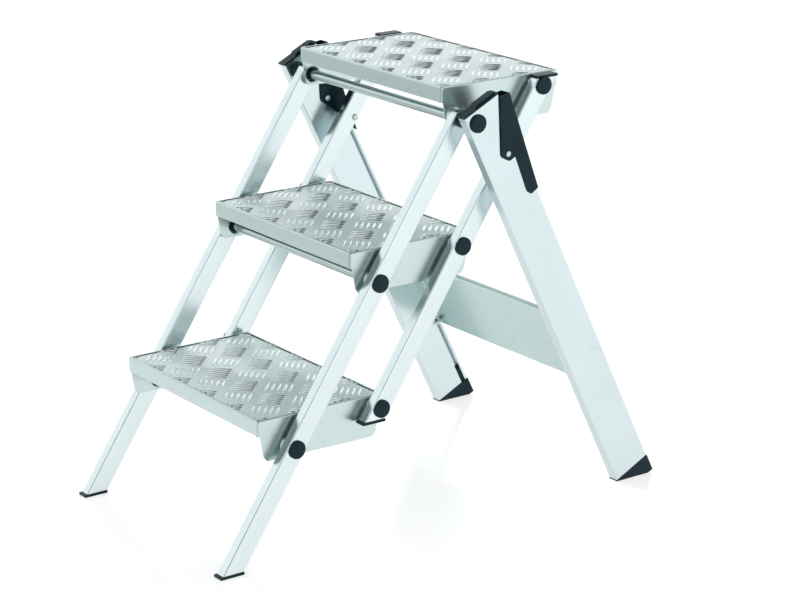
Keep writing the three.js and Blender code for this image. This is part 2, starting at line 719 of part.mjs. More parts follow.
addPair('front_stile', frontStile, brightAluminium);
addPair('front_foot', frontFoot, blackPlastic);
addPair('rear_stile', boredRearStile, brightAluminium);
addPair('rear_stile_top_cap', topCap, blackPlastic);
addPair('rear_stile_bottom_cap', bottomCap, blackPlastic);
addPair('stop_stud', stud(), steel);

['bottom', 'middle', 'top'].forEach((level, i) => {
  const isTop = level === 'top';
  const frontEnd = isTop ? LEG_OUTER_X : STILE_OUTER_X;
  add(`${level}_tread_tray`, treadTray(frontAxles[i], FRONT_OVERHANGS[i]), satinAluminium());
  add(`${level}_tread_plate`, treadPlate(frontAxles[i], FRONT_OVERHANGS[i]), plateAluminium());
  add(`${level}_front_axle`, axle(frontAxles[i], frontEnd), steel());
  add(`${level}_rear_axle`, axle(rearAxles[i], STILE_OUTER_X), steel());
  addPair(`${level}_axle_bush`, axleBush(frontAxles[i]), blackPlastic);
  addPair(`${level}_front_cap`, pivotCap(frontAxles[i], frontEnd), blackPlastic);
  addPair(`${level}_rear_cap`, pivotCap(rearAxles[i], STILE_OUTER_X), blackPlastic);
});

addPair('leg_spacer', legSpacer(legPivot), blackPlastic);
addPair('rear_leg', legBar(), brightAluminium);
addPair('leg_end_cap', legEndCap(), blackPlastic);
addPair('rear_foot', rearFoot(), blackPlastic);
add('crossbar', crossbar(), satinAluminium());
addPair('crossbar_upper_bolt', crossbarBolt(boltPlaces[0]), steel);
addPair('crossbar_lower_bolt', crossbarBolt(boltPlaces[1]), steel);
addPair('latch', latch(), blackPaint);
addPair('latch_rivet', latchRivet(), steel);

export default stool;
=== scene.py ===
"""Looks for the folding step stool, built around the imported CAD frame.

The frame gives every place and size. Tubes, legs, feet and end pieces are the CAD nodes with soft
edges and new materials. Folded sheet, chequer plates, latches and turned pieces are rebuilt here
as finer meshes, in millimetres, and scaled to metres once made.
"""

import json
import math

import bmesh
import bpy
from mathutils import Matrix, Vector


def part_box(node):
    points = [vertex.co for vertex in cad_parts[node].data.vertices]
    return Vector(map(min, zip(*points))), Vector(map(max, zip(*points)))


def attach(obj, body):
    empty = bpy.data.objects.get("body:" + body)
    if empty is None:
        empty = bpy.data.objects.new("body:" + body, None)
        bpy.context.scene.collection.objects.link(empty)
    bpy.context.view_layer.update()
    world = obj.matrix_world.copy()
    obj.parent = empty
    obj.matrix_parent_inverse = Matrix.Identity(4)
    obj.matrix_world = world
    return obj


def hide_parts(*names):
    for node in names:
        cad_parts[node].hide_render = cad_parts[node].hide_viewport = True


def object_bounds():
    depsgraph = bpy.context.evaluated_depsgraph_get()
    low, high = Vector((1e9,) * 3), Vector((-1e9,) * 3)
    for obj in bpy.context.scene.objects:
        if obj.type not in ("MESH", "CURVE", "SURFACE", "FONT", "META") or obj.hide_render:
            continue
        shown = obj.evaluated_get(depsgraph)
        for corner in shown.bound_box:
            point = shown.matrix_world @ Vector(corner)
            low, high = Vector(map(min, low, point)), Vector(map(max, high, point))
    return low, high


MM = 0.001
SIDES = ("right", "left")
LEVELS = ("bottom", "middle", "top")

CAMERA_AZIMUTH = math.radians(54.05)      # 0 looks along +Y
CAMERA_ELEVATION = math.radians(17.235)
CAMERA_DISTANCE = 4.0
CAMERA_AIM = Vector((0.0672, 0.0163, -0.0294))   # from the middle of the object's box
CAMERA_LENS = 113.36                      # on the default 36 mm sensor

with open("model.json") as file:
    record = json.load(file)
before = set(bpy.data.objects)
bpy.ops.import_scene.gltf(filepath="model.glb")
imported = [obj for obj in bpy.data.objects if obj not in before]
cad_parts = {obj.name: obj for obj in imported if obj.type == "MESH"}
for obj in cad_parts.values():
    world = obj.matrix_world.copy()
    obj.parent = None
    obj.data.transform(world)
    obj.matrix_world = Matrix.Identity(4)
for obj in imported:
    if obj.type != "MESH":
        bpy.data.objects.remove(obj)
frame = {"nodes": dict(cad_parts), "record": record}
cad_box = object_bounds()
centre = (cad_box[0] + cad_box[1]) / 2
nodes = frame["nodes"]
BODY_OF = {
    node: body
    for body, names in frame["record"]["behaviour"]["bodies"].items()
    for node in names
}


# ---- materials -----------------------------------------------------------------------------------

# Noise scales: a patch is about 1 / scale metres across.
METAL_CLOUDS = 9
METAL_MARKS = 55
PLASTIC_CLOUDS = 40
PLASTIC_SCUFFS = 120
MARK_TURN = 0.6                   # handling marks lie across the grain, by this much in radians
METAL_GRAIN_DEPTH = 0.00003
PLASTIC_GLOSS = 0.25
PLASTIC_GLOSS_TINT = (0.55, 0.85, 1.0, 1)

def new_material(name):
    material = bpy.data.materials.new(name)
    material.use_nodes = True
    tree = material.node_tree
    return material, tree, tree.nodes["Principled BSDF"]


def stretched_noise(tree, scale, stretch=(1, 1, 1), turn=0.0, detail=4.0):
    """Noise in the object's own space, turned about X and then drawn out along an axis."""
    place = tree.nodes.new("ShaderNodeTexCoord")
    turned_by = tree.nodes.new("ShaderNodeMapping")
    turned_by.inputs["Rotation"].default_value = (turn, 0, 0)
    drawn = tree.nodes.new("ShaderNodeMapping")
    drawn.inputs["Scale"].default_value = stretch
    noise = tree.nodes.new("ShaderNodeTexNoise")
    noise.inputs["Scale"].default_value = scale
    noise.inputs["Detail"].default_value = detail
    tree.links.new(place.outputs["Object"], turned_by.inputs["Vector"])
    tree.links.new(turned_by.outputs["Vector"], drawn.inputs["Vector"])
    tree.links.new(drawn.outputs["Vector"], noise.inputs["Vector"])
    return noise.outputs["Fac"]


def ramp(tree, value, low, high, start=0.35, end=0.65):
    """A grey or colour ramp over a noise value."""
    node = tree.nodes.new("ShaderNodeValToRGB")
    node.color_ramp.elements[0].position = start
    node.color_ramp.elements[1].position = end
    node.color_ramp.elements[0].color = low
    node.color_ramp.elements[1].color = high
    tree.links.new(value, node.inputs["Fac"])
    return node.outputs["Color"]


def grey(level):
    return (level, level, level, 1)


def scaled(colour, factor):
    return tuple(channel * factor for channel in colour) + (1,)


def multiplied(tree, first, second):
    node = tree.nodes.new("ShaderNodeMix")
    node.data_type = "RGBA"
    node.blend_type = "MULTIPLY"
    node.inputs["Factor"].default_value = 1.0
    tree.links.new(first, node.inputs["A"])
    tree.links.new(second, node.inputs["B"])
    return node.outputs["Result"]


def bump(tree, shader, value, distance, strength):
    node = tree.nodes.new("ShaderNodeBump")
    node.inputs["Distance"].default_value = distance
    node.inputs["Strength"].default_value = strength
    tree.links.new(value, node.inputs["Height"])
    tree.links.new(node.outputs["Normal"], shader.inputs["Normal"])


def metal(name, colour, roughness, stretch, turn, grain, relief=0.15, contrast=0.03, purity=1.0):
    """Aluminium or steel: a drawn grain in gloss and relief, cloudy tone, a few handling marks."""
    material, tree, shader = new_material(name)
    shader.inputs["Metallic"].default_value = purity
    fine = stretched_noise(tree, grain, stretch, turn)
    cloudy = stretched_noise(tree, METAL_CLOUDS, detail=3.0)
    marks = stretched_noise(tree, METAL_MARKS, (1, 0.25, 1), turn + MARK_TURN, detail=6.0)
    tone = ramp(tree, cloudy, scaled(colour, 1 - contrast), scaled(colour, 1.0))
    streaks = ramp(tree, fine, grey(1 - contrast), grey(1.0), 0.3, 0.7)
    wear = ramp(tree, marks, grey(1.0), grey(0.93), 0.66, 0.74)
    shade = multiplied(tree, multiplied(tree, tone, streaks), wear)
    tree.links.new(shade, shader.inputs["Base Color"])
    gloss = ramp(tree, fine, grey(roughness - 0.04), grey(roughness + 0.05))
    tree.links.new(gloss, shader.inputs["Roughness"])
    bump(tree, shader, fine, METAL_GRAIN_DEPTH, relief)
    return material


def moulded(name, colour, roughness, grain, relief):
    """Black plastic or paint: fine even grain, uneven tone and faint scuffs."""
    material, tree, shader = new_material(name)
    shader.inputs["Specular IOR Level"].default_value = PLASTIC_GLOSS
    shader.inputs["Specular Tint"].default_value = PLASTIC_GLOSS_TINT
    fine = stretched_noise(tree, grain)
    cloudy = stretched_noise(tree, PLASTIC_CLOUDS, detail=3.0)
    scuffs = stretched_noise(tree, PLASTIC_SCUFFS, (1, 0.2, 1), 0.5, detail=6.0)
    tone = ramp(tree, cloudy, scaled(colour, 0.8), scaled(colour, 1.15))
    worn = ramp(tree, scuffs, grey(0.8), grey(1.0), 0.30, 0.38)
    tree.links.new(multiplied(tree, tone, worn), shader.inputs["Base Color"])
    gloss = ramp(tree, fine, grey(roughness - 0.05), grey(roughness + 0.06))
    tree.links.new(gloss, shader.inputs["Roughness"])
    bump(tree, shader, fine, relief, 1.0)
    return material


TREAD_GOING = 156                 # from one front axle to the next
TREAD_RISE = 235
STILE_TURN = math.atan2(TREAD_GOING, TREAD_RISE)
LEG_LEAN = math.radians(63.7)     # the rear legs' slope at rest
LEG_TURN = LEG_LEAN - math.pi / 2
ALONG_Z = (1, 1, 0.02)            # a drawn grain along Z, once turned
ALONG_X = (0.02, 1, 1)
EVEN = (1, 1, 1)

stile_metal = metal("stile_aluminium", (0.725, 0.81, 0.825), 0.22, ALONG_Z, STILE_TURN, 2200)
leg_metal = metal("leg_aluminium", (0.66, 0.755, 0.77), 0.22, ALONG_Z, LEG_TURN, 2200)
sheet_metal = metal("sheet_aluminium", (0.60, 0.715, 0.70), 0.31, ALONG_X, 0, 2000)
bar_metal = metal("crossbar_aluminium", (0.55, 0.69, 0.67), 0.24, ALONG_X, 0, 2400)
plate_metal = metal("chequer_aluminium", (0.80, 0.87, 0.865), 0.34, (1, 0.4, 1), 0, 300, purity=0.45)
bar_tops = metal("chequer_bars", (0.82, 0.90, 0.90), 0.11, EVEN, 0, 500, relief=0.03)
# The recess inside the tray's rim gets this dark sheet as painted shade, standing for the shadow in the
# gap between plate and rim.
recess_shade_metal = metal("painted_recess_shade", (0.16, 0.20, 0.20), 0.45, EVEN, 0, 400, contrast=0.3)
bright_steel = metal("bright_steel", (0.52, 0.60, 0.60), 0.14, (0.05, 1, 1), 0, 600)
black_plastic = moulded("black_plastic", (0.004, 0.014, 0.020), 0.36, 1800, 0.00003)
black_paint = moulded("black_paint", (0.003, 0.014, 0.021), 0.34, 1200, 0.00002)


# ---- stage ---------------------------------------------------------------------------------------

FLOOR_RADIUS = 30
FLOOR_BASE = (0.50, 0.49, 0.49, 1)
FLOOR_ROUGHNESS = 0.12
FLOOR_GLOW = (0.655, 0.645, 0.645, 1)
# Ahead of the stool the floor that metal mirrors darkens, so that the front lips and axles have the
# photograph's tone. The floor in view is evenly pale.
FLOOR_DIM = (0.03, 0.03, 0.03, 1)
FLOOR_NEAR_Y = -0.6
FLOOR_FAR_Y = -1.5

SKY_STRENGTH = 1.12
SKY_LOW = (0.955, 1.0, 1.0, 1)
SKY_HIGH = (0.06, 0.08, 0.09, 1)
SKY_FADE = (0.56, 0.86)           # heights on a unit sphere between which it falls off
STUDIO_DARK = Vector((0.61, -0.62, 0.49))   # towards the studio's dark end, ahead of the stool
DARK_FADE = (0.86, 0.95)          # cosines of the angle from that direction


def make_floor():
    bpy.ops.mesh.primitive_circle_add(vertices=96, radius=FLOOR_RADIUS, fill_type="NGON")
    floor = bpy.context.object
    floor.name = "studio_floor"
    material, tree, shader = new_material("white_gloss_floor")
    shader.inputs["Base Color"].default_value = FLOOR_BASE
    shader.inputs["Roughness"].default_value = FLOOR_ROUGHNESS
    place = tree.nodes.new("ShaderNodeTexCoord")
    split = tree.nodes.new("ShaderNodeSeparateXYZ")
    ahead = tree.nodes.new("ShaderNodeMapRange")
    ahead.inputs["From Min"].default_value = FLOOR_NEAR_Y
    ahead.inputs["From Max"].default_value = FLOOR_FAR_Y
    path = tree.nodes.new("ShaderNodeLightPath")
    mirrored = tree.nodes.new("ShaderNodeMath")
    mirrored.operation = "MULTIPLY"
    tree.links.new(place.outputs["Object"], split.inputs["Vector"])
    tree.links.new(split.outputs["Y"], ahead.inputs["Value"])
    tree.links.new(ahead.outputs["Result"], mirrored.inputs[0])
    tree.links.new(path.outputs["Is Glossy Ray"], mirrored.inputs[1])
    glow = ramp(tree, mirrored.outputs["Value"], FLOOR_GLOW, FLOOR_DIM, 0.0, 1.0)
    tree.links.new(glow, shader.inputs["Emission Color"])
    shader.inputs["Emission Strength"].default_value = 1.0
    floor.data.materials.append(material)


def make_light(name, place, aim, size, power, in_gloss=True):
    data = bpy.data.lights.new(name, "AREA")
    data.shape = "RECTANGLE"
    data.size, data.size_y = size
    data.energy = power
    light = bpy.data.objects.new(name, data)
    bpy.context.scene.collection.objects.link(light)
    light.location = place
    light.rotation_mode = "QUATERNION"
    light.rotation_quaternion = (Vector(aim) - Vector(place)).to_track_quat("-Z", "Y")
    light.visible_glossy = in_gloss


def make_studio():
    """A bright surround that falls off overhead and at one end, a broad soft light and a key."""
    world = bpy.data.worlds.new("studio")
    bpy.context.scene.world = world
    world.use_nodes = True
    tree = world.node_tree
    background = tree.nodes["Background"]
    background.inputs["Strength"].default_value = SKY_STRENGTH
    place = tree.nodes.new("ShaderNodeTexCoord")
    split = tree.nodes.new("ShaderNodeSeparateXYZ")
    tree.links.new(place.outputs["Generated"], split.inputs["Vector"])
    sky = ramp(tree, split.outputs["Z"], SKY_LOW, SKY_HIGH, *SKY_FADE)
    toward = tree.nodes.new("ShaderNodeVectorMath")
    toward.operation = "DOT_PRODUCT"
    toward.inputs[1].default_value = STUDIO_DARK.normalized()
    tree.links.new(place.outputs["Generated"], toward.inputs[0])
    dark_end = ramp(tree, toward.outputs["Value"], grey(1.0), grey(0.05), *DARK_FADE)
    tree.links.new(multiplied(tree, sky, dark_end), background.inputs["Color"])
    make_light("overhead", (0, 0, 4), centre, (5, 5), 40, in_gloss=False)
    make_light("key", (1.5, -3.0, 3.2), centre, (2.0, 2.0), 15)
    bpy.context.scene.view_settings.view_transform = "Standard"


def make_camera():
    data = bpy.data.cameras.new("camera")
    data.lens = CAMERA_LENS
    camera = bpy.data.objects.new("camera", data)
    bpy.context.scene.collection.objects.link(camera)
    level = math.cos(CAMERA_ELEVATION)
    back = Vector((
        math.sin(CAMERA_AZIMUTH) * level,
        -math.cos(CAMERA_AZIMUTH) * level,
        math.sin(CAMERA_ELEVATION),
    ))
    camera.location = centre + CAMERA_AIM + back * CAMERA_DISTANCE
    camera.rotation_mode = "QUATERNION"
    camera.rotation_quaternion = (-back).to_track_quat("-Z", "Y")
    bpy.context.scene.camera = camera


# ---- mesh helpers --------------------------------------------------------------------------------

FOLD_STEPS = 5
QUARTER = [math.pi / 2 * k / FOLD_STEPS for k in range(FOLD_STEPS + 1)]   # angles of a right-angle fold
JOIN_DISTANCE = 0.002             # millimetres
SHEET_EDGE = 0.0003               # metres, as are the other rounded edges
NODE_EDGE = 0.0004
BOLT_EDGE = 0.0003
END_EDGE = 0.0007


def filleted(corners, steps=6, closed=True):
    """Points of a flat path. A corner is (a, b) or (a, b, radius)."""
    points = []
    for i, corner in enumerate(corners):
        at = Vector(corner[:2])
        radius = corner[2] if len(corner) > 2 else 0
        if radius == 0 or (not closed and i in (0, len(corners) - 1)):
            points.append(at)
            continue
        back = (Vector(corners[i - 1][:2]) - at).normalized()
        ahead = (Vector(corners[(i + 1) % len(corners)][:2]) - at).normalized()
        half = math.acos(back.dot(ahead)) / 2
        middle = at + (back + ahead).normalized() * radius / math.sin(half)
        start = at + back * radius / math.tan(half) - middle
        end = at + ahead * radius / math.tan(half) - middle
        turn = math.atan2(start.x * end.y - start.y * end.x, start.dot(end))
        for k in range(steps + 1):
            points.append(middle + Matrix.Rotation(turn * k / steps, 2) @ start)
    return points


def loop(bm, points):
    """A closed ring of vertices and edges."""
    verts = [bm.verts.new(point) for point in points]
    edges = [bm.edges.new((verts[i - 1], verts[i])) for i in range(len(verts))]
    return verts, edges


def bridge(bm, first, second, skip=()):
    """Quads between two rings with the same number of vertices."""
    count = len(first)
    for i in range(count):
        if i not in skip:
            j = (i + 1) % count
            bm.faces.new((first[i], first[j], second[j], second[i]))


def bridge_or_fan(bm, first, second):
    """Quads between two rings, or triangles where one of them is a single point."""
    if len(first) == len(second):
        bridge(bm, first, second)
        return
    tip, ring = (first[0], second) if len(first) == 1 else (second[0], first)
    for i in range(len(ring)):
        bm.faces.new((ring[i - 1], ring[i], tip))


def angles_round(count):
    return [2 * math.pi * k / count for k in range(count)]


def strip(bm, rows):
    """Quads between successive open rows of vertices."""
    for low, high in zip(rows, rows[1:]):
        for i in range(len(low) - 1):
            bm.faces.new((low[i], low[i + 1], high[i + 1], high[i]))


def rows_of(bm, rows):
    return [[bm.verts.new(point) for point in row] for row in rows]


def make_piece(name, bm, material, node, toward=None):
    """Turns a bmesh in millimetres into a piece that stands for a CAD node.

    An open sheet's faces are turned so that the one furthest along toward faces that way.
    """
    bmesh.ops.remove_doubles(bm, verts=bm.verts, dist=JOIN_DISTANCE)
    bmesh.ops.recalc_face_normals(bm, faces=bm.faces)
    if toward:
        lead = max(bm.faces, key=lambda face: face.calc_center_median().dot(toward))
        if lead.normal.dot(toward) < 0:
            bmesh.ops.reverse_faces(bm, faces=bm.faces)
    mesh = bpy.data.meshes.new(name)
    bm.to_mesh(mesh)
    bm.free()
    mesh.transform(Matrix.Scale(MM, 4))
    mesh.shade_smooth()
    mesh.materials.append(material)
    piece = bpy.data.objects.new(name, mesh)
    bpy.context.scene.collection.objects.link(piece)
    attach(piece, BODY_OF[node])
    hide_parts(node)
    return piece


def round_edges(piece, width, segments=2):
    """Rounds hard edges and keeps broad faces flat in the shading."""
    bevel = piece.modifiers.new("soft_edges", "BEVEL")
    bevel.width = width
    bevel.segments = segments
    bevel.limit_method = "ANGLE"
    bevel.angle_limit = math.radians(40)
    shading = piece.modifiers.new("flat_faces", "WEIGHTED_NORMAL")
    shading.weight = 90
    shading.keep_sharp = True


def thicken(piece, thickness):
    """Gives a folded skin its sheet thickness, inward, and rounds the cut edges."""
    solid = piece.modifiers.new("sheet", "SOLIDIFY")
    solid.thickness = thickness
    solid.offset = -1
    solid.use_even_offset = True
    solid.use_quality_normals = True
    round_edges(piece, SHEET_EDGE)
    piece.modifiers["soft_edges"].use_clamp_overlap = False   # no edge here is short enough to need it


def axis_of(node):
    """Where a round node's axis along X passes, in millimetres."""
    low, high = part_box(node)
    return (low.y + high.y) / 2 / MM, (low.z + high.z) / 2 / MM


def on_leg(x, down, back):
    """A point beside the rear legs: down them from their pivot, and back from that line."""
    y, z = axis_of("top_front_axle")
    y += down * math.cos(LEG_LEAN) + back * math.sin(LEG_LEAN)
    z += back * math.cos(LEG_LEAN) - down * math.sin(LEG_LEAN)
    return (x, y, z)


# ---- CAD nodes that stay -------------------------------------------------------------------------

def dress(pattern, material, width=NODE_EDGE):
    """Rounded edges and a material for the CAD nodes whose names fit."""
    for name, node in nodes.items():
        if pattern(name):
            node.data.materials.clear()
            node.data.materials.append(material)
            weld = node.modifiers.new("weld", "WELD")
            weld.merge_threshold = 0.00001
            for face in node.data.polygons:
                face.use_smooth = True
            round_edges(node, width)


def is_tube_end(name):
    return ("stile_" in name and "cap" in name) or "foot" in name or "end_cap" in name


dress(lambda n: "_stile_" in n and "cap" not in n, stile_metal)
dress(lambda n: "rear_leg_" in n, leg_metal)
dress(lambda n: "bolt" in n, bright_steel, BOLT_EDGE)
dress(is_tube_end, black_plastic, END_EDGE)


# ---- turned pieces -------------------------------------------------------------------------------

ROUND = 64

# Profiles are (radius, distance outward from the piece's inner end).
CAP_PROFILE = [(0, 0), (5.2, 0), (5.7, 0.5), (5.7, 8), (14.1, 8), (14.5, 8.4), (14.5, 10.1),
               (14.35, 10.75), (13.9, 11.2), (13.2, 11.45), (11.5, 11.68), (8, 11.94), (4, 12.12),
               (0, 12.2)]
STUD_PROFILE = [(0, 0), (4.2, 0), (5.0, 0.3), (5.5, 1.1), (5.5, 2), (4, 2), (4, 34.6), (3.6, 35.4),
                (2.7, 35.8), (0, 35.8)]
RIVET_PROFILE = [(0, 0), (2.4, 0.1), (3.8, 0.5), (4.6, 1.2), (3, 1.2), (3, 25.4), (4.6, 25.4),
                 (3.8, 26.1), (2.4, 26.5), (0, 26.6)]
BUSH_PROFILE = [(8.3, 0), (10.4, 0), (10.7, 0.3), (10.7, 2), (10.2, 2), (10.2, 4.7), (9.95, 4.95),
                (8.3, 4.95), (8.3, 0)]
SPACER_PROFILE = [(8.3, 0), (12.9, 0), (13.5, 0.6), (13.5, 3.2), (12.9, 3.8), (12.9, 15.1),
                  (13.5, 15.7), (13.5, 18.3), (12.9, 18.9), (8.3, 18.9), (8.3, 0)]


def turn_piece(node, profile, material):
    """A turned piece on the node's own axis, mirrored where the node is on the left."""
    low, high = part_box(node)
    side = -1 if high.x < 0 else 1
    inner = (low.x if side > 0 else -high.x) / MM
    y, z = axis_of(node)
    bm = bmesh.new()
    rings = []
    for radius, out in profile:
        x = side * (inner + out)
        if radius == 0:
            rings.append([bm.verts.new((x, y, z))])
            continue
        rings.append([
            bm.verts.new((x, y + radius * math.cos(a), z + radius * math.sin(a)))
            for a in angles_round(ROUND)
        ])
    for first, second in zip(rings, rings[1:]):
        bridge_or_fan(bm, first, second)
    piece = make_piece(node + "_turned", bm, material, node)
    piece.data.set_sharp_from_angle(angle=math.radians(35))


TUBE_INNER = 6
TUBE_OUTER = 8
TUBE_CHAMFER = 0.4


def axle_profile(node):
    """A tube's section, with its ends chamfered inside and out."""
    low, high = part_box(node)
    length = (high.x - low.x) / MM
    return [
        (TUBE_INNER, TUBE_CHAMFER),
        (TUBE_INNER + TUBE_CHAMFER, 0),
        (TUBE_OUTER - TUBE_CHAMFER, 0),
        (TUBE_OUTER, TUBE_CHAMFER),
        (TUBE_OUTER, length - TUBE_CHAMFER),
        (TUBE_OUTER - TUBE_CHAMFER, length),
        (TUBE_INNER + TUBE_CHAMFER, length),
        (TUBE_INNER, length - TUBE_CHAMFER),
        (TUBE_INNER, TUBE_CHAMFER),
    ]


for level in LEVELS:
    for end in ("front", "rear"):
        axle = f"{level}_{end}_axle"
        turn_piece(axle, axle_profile(axle), bright_steel)
        for side in SIDES:
            turn_piece(f"{level}_{end}_cap_{side}", CAP_PROFILE, black_plastic)
    for side in SIDES:
        turn_piece(f"{level}_axle_bush_{side}", BUSH_PROFILE, black_plastic)
for side in SIDES:
    turn_piece(f"leg_spacer_{side}", SPACER_PROFILE, black_plastic)
    turn_piece(f"stop_stud_{side}", STUD_PROFILE, bright_steel)
    turn_piece(f"latch_rivet_{side}", RIVET_PROFILE, bright_steel)


# ---- tread trays ---------------------------------------------------------------------------------

SHEET = 1.8
PLATE_INSET = 5                   # the CAD plate's edge from the tray's outer face
RECESS_INSET = 5.2
RECESS = 2.3                      # depth
PLATE_CORNER = 2
TREAD_CORNER = 4.5
FOLD = 2.5                        # outer radius of the folds
LIP_HEIGHT = 25
LIP_RETURN = 9
CORNER_STEPS = 6
DISH_DEPTH = 5.3
DISH_SIDES = 64

# Side plates below the lips: (in from the lip, height over the front pivot, corner radius).
EAR = [(10.5, -10, 2), (16.5, -18, 4)]
HEEL = [(15, -20, 12)]
# Pressed dishes: (radius, distance out), with rounded shoulders.
FRONT_DISH = [(15.35, 0), (14.2, 0, 1.5), (12.4, DISH_DEPTH, 1.5), (10.5, DISH_DEPTH)]
REAR_DISH = [(13, 0), (11.7, 0, 1.5), (9.8, DISH_DEPTH, 1.5), (8.3, DISH_DEPTH)]


def rectangle(half_x, y0, y1, inset, radius, z):
    """A rounded rectangle as four corner arcs: front right, rear right, rear left, front left."""
    x = half_x - inset - radius
    front = y0 + inset + radius
    rear = y1 - inset - radius
    points = []
    for cx, cy, start in ((x, front, 270), (x, rear, 0), (-x, rear, 90), (-x, front, 180)):
        for k in range(CORNER_STEPS + 1):
            angle = math.radians(start + 90 * k / CORNER_STEPS)
            points.append((cx + radius * math.cos(angle), cy + radius * math.sin(angle), z))
    return points


def dish_rings(bm, x, side, y, z, profile):
    """A pressed dish out of a side plate. Returns the edges of its outermost ring."""
    rings = []
    for radius, out in filleted(profile, 5, closed=False):
        rings.append([
            bm.verts.new((
                x + side * out,
                y + radius * math.cos(angle),
                z + radius * math.sin(angle),
            ))
            for angle in angles_round(DISH_SIDES)
        ])
    for first, second in zip(rings, rings[1:]):
        bridge(bm, first, second)
    base = rings[0]
    return [bm.edges.get((base[i - 1], base[i])) for i in range(DISH_SIDES)]


def side_plate(bm, side, size, front, rear):
    """One side of a tray: a flat plate with an ear, a heel and two dishes."""
    half_x, y0, y1, top = size
    lip = top - LIP_HEIGHT
    start = y0 + TREAD_CORNER
    end = y1 - TREAD_CORNER
    corners = [(start, top - FOLD), (start, lip + FOLD), (start, lip)]
    corners += [(y0 + inward, front[1] + height, radius) for inward, height, radius in EAR]
    corners += [(y1 - inward, front[1] + height, radius) for inward, height, radius in HEEL]
    corners += [(end, lip), (end, lip + FOLD), (end, top - FOLD)]
    x = side * half_x
    edges = loop(bm, [(x, y, z) for y, z in filleted(corners, 8)])[1]
    edges += dish_rings(bm, x, side, *front, FRONT_DISH)
    edges += dish_rings(bm, x, side, *rear, REAR_DISH)
    bmesh.ops.triangle_fill(bm, use_beauty=True, edges=edges)


def lip_returns(bm, size):
    """The front and rear lips' lower folds, between the tray's corners."""
    half_x, y0, y1, top = size
    reach = half_x - TREAD_CORNER
    for y, inward in ((y0, 1), (y1, -1)):
        rows = []
        for angle in QUARTER:
            at = y + inward * FOLD * (1 - math.cos(angle))
            z = top - LIP_HEIGHT + FOLD * (1 - math.sin(angle))
            rows.append([(-reach, at, z), (reach, at, z)])
        far = y + inward * LIP_RETURN
        rows.append([(-reach, far, top - LIP_HEIGHT), (reach, far, top - LIP_HEIGHT)])
        strip(bm, rows_of(bm, rows))


def tray_rings(bm, size):
    """The recess, the rim and the fold down to the walls. Returns the lowest ring."""
    half_x, y0, y1, top = size
    steps = [(RECESS_INSET, PLATE_CORNER, top - RECESS), (RECESS_INSET, PLATE_CORNER, top)]
    for angle in QUARTER:
        inset = FOLD * (1 - math.sin(angle))
        steps.append((inset, TREAD_CORNER - inset, top - FOLD * (1 - math.cos(angle))))
    rings = [
        [bm.verts.new(point) for point in rectangle(half_x, y0, y1, inset, radius, z)]
        for inset, radius, z in steps
    ]
    bm.faces.new(rings[0])
    bridge(bm, rings[0], rings[1])
    # The recess floor and wall take the second slot: painted shade in the gap inside the rim.
    for face in bm.faces:
        face.material_index = 1
    for first, second in zip(rings[1:], rings[2:]):
        bridge(bm, first, second)
    return rings[-1]


def tray_walls(bm, size, above):
    """Upright walls under the fold: whole at the lips, and only the corners lower down."""
    half_x, y0, y1, top = size
    per_corner = CORNER_STEPS + 1
    sides = (CORNER_STEPS, 3 * per_corner - 1)
    ends = (2 * per_corner - 1, 4 * per_corner - 1)
    wall, lower = [
        [bm.verts.new(point) for point in rectangle(half_x, y0, y1, 0, TREAD_CORNER, z)]
        for z in (top - LIP_HEIGHT + FOLD, top - LIP_HEIGHT)
    ]
    bridge(bm, above, wall, sides)
    bridge(bm, wall, lower, sides + ends)


def make_tray(level):
    node = f"{level}_tread_tray"
    low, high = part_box(node)
    plate_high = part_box(f"{level}_tread_plate")[1]
    size = (plate_high.x / MM + PLATE_INSET, low.y / MM, high.y / MM, plate_high.z / MM)
    bm = bmesh.new()
    tray_walls(bm, size, tray_rings(bm, size))
    lip_returns(bm, size)
    front = axis_of(f"{level}_front_axle")
    rear = axis_of(f"{level}_rear_axle")
    for side in (1, -1):
        side_plate(bm, side, size, front, rear)
    loose = [vert for vert in bm.verts if not vert.link_faces]
    bmesh.ops.delete(bm, geom=loose, context="VERTS")
    piece = make_piece(node + "_sheet", bm, sheet_metal, node, Vector((0, 0, 1)))
    # Second slot: the dark recess sheet, painted shade in the gap inside the rim.
    piece.data.materials.append(recess_shade_metal)
    thicken(piece, SHEET * MM)
    piece.modifiers["sheet"].material_offset = -1   # the pan's underside is plain sheet, without the painted recess shade
    return size


# ---- chequer plates ------------------------------------------------------------------------------

PLATE_DROP = 0.9                  # the plate's ground below the tray's rim
PLATE_THICK = 1.5
PLATE_EDGE = 7.2                  # from the tray's outer face, so a dark gap shows inside the rim
GROUPS_ACROSS = 5
GROUPS_DEEP = 3
BARS = 5
BAR_PITCH = 9.6
BAR_LENGTH = 39
BAR_WIDTH = 5.4
BAR_HEIGHT = 1.9
BAR_TAPER = 0.62                  # lower is blunter, seen from above
BAR_CREST = 0.35                  # lower is blunter, seen from the side
BAR_STEPS = 12
BAR_SECTION = [(-1, 0), (-0.72, 0.72), (-0.4, 0.97), (0.4, 0.97), (0.72, 0.72), (1, 0)]
SUNK = 0.3                        # how far a bar's foot goes into the plate
BAR_CLEARANCE = 0.6               # between a cut bar and the plate's edge
PLATE_CHAMFER = 0.4
PLATE_ROUND = 0.12                # the chamfer's middle, out towards a rounded edge


